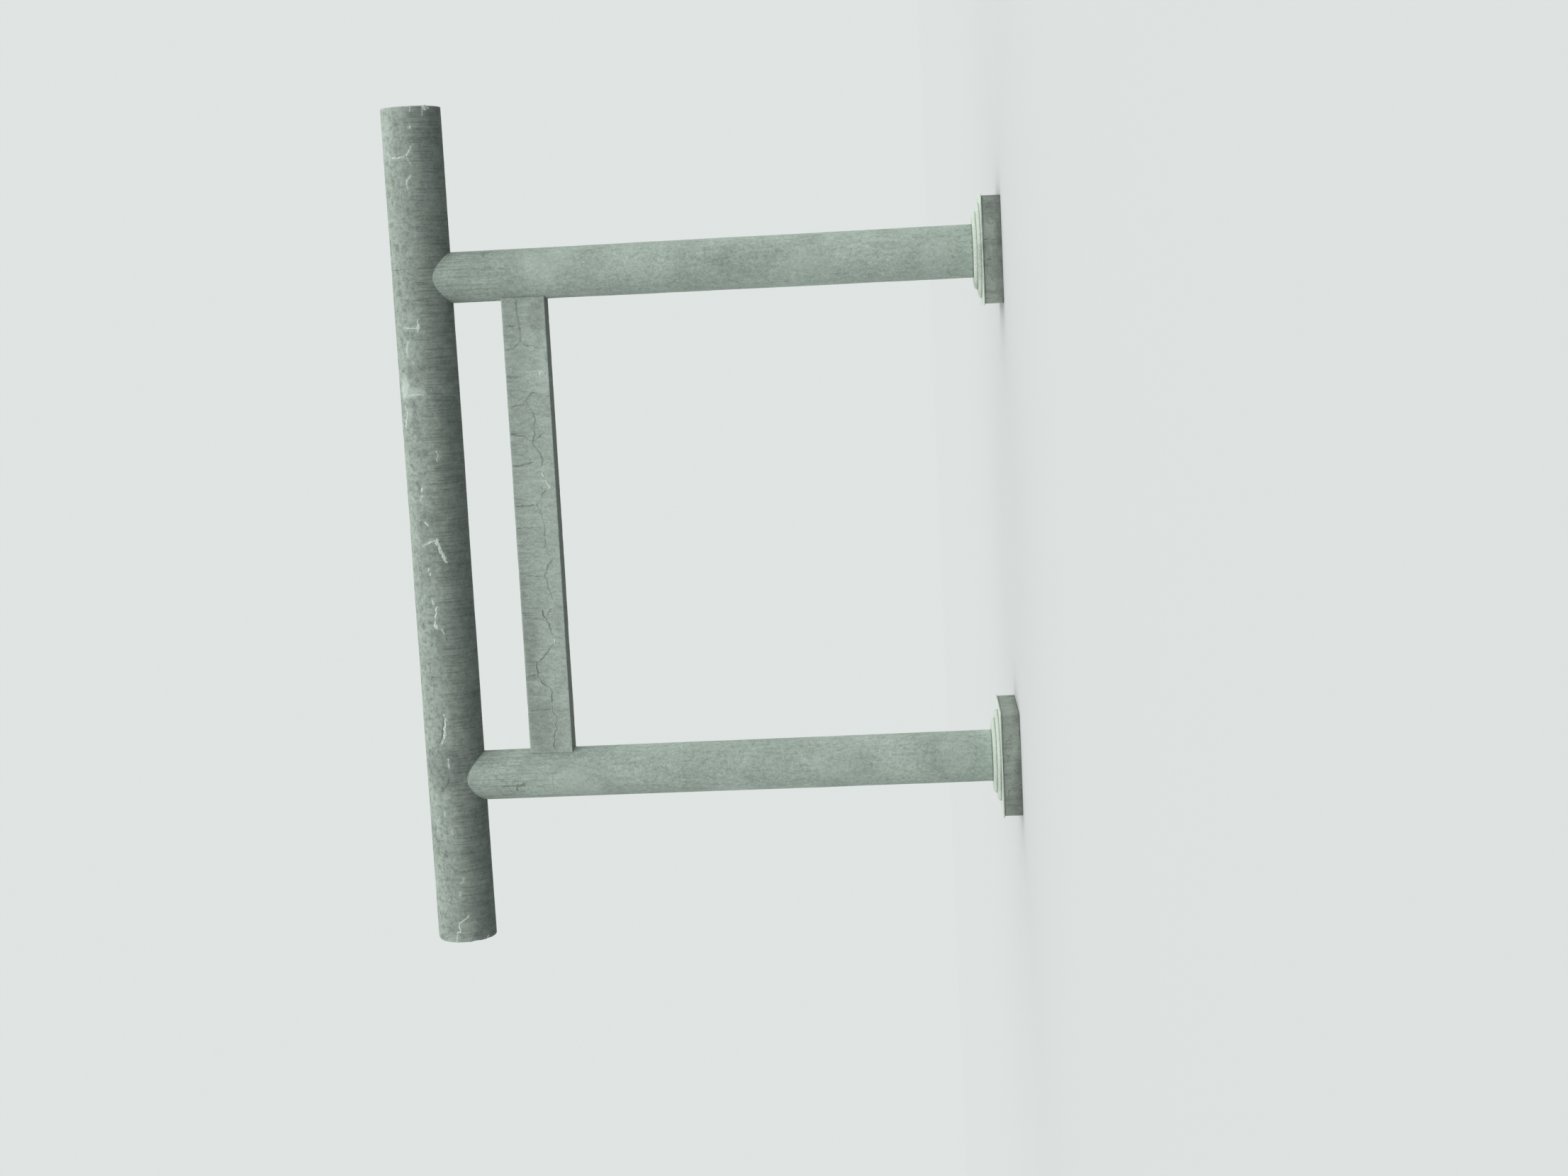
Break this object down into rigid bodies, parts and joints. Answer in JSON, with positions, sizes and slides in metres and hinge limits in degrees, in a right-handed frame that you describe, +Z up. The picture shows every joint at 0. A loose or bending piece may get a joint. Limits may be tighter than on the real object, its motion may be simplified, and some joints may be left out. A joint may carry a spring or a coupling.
{
  "type": "torii gate",
  "caption": "Plain concrete torii gate: round top log in saddle seats on round tapered pillars, square-edged tie beam, stepped round bases on low square footings.",
  "frame": {"origin": "on the ground, midway between the two pillars' axes, under the middle of the gate", "axes": "+X along the top log, towards the right end seen from the front; +Y to the back, the way people walk through; +Z up"},
  "size_m": [8.55, 1.08, 6.1428],
  "materials": {
    "footing_concrete": "rough, damp-stained grey concrete",
    "base_stone": "rubbed pale stone",
    "pillar_concrete": "weathered pale concrete with fine rain streaks",
    "beam_concrete": "weathered concrete with a web of fine cracks",
    "log_concrete": "weathered concrete, pale above and dark and streaked below, with white lime crusts"
  },
  "bodies": {
    "root": {"left_footing": "footing_concrete", "right_footing": "footing_concrete", "left_base_slab": "base_stone", "right_base_slab": "base_stone", "left_lower_ring": "base_stone", "right_lower_ring": "base_stone", "left_upper_ring": "base_stone", "right_upper_ring": "base_stone", "left_pillar": "pillar_concrete", "right_pillar": "pillar_concrete", "tie_beam": "beam_concrete", "top_log_left": "log_concrete", "top_log_middle": "log_concrete", "top_log_right": "log_concrete"}
  },
  "joints": []
}
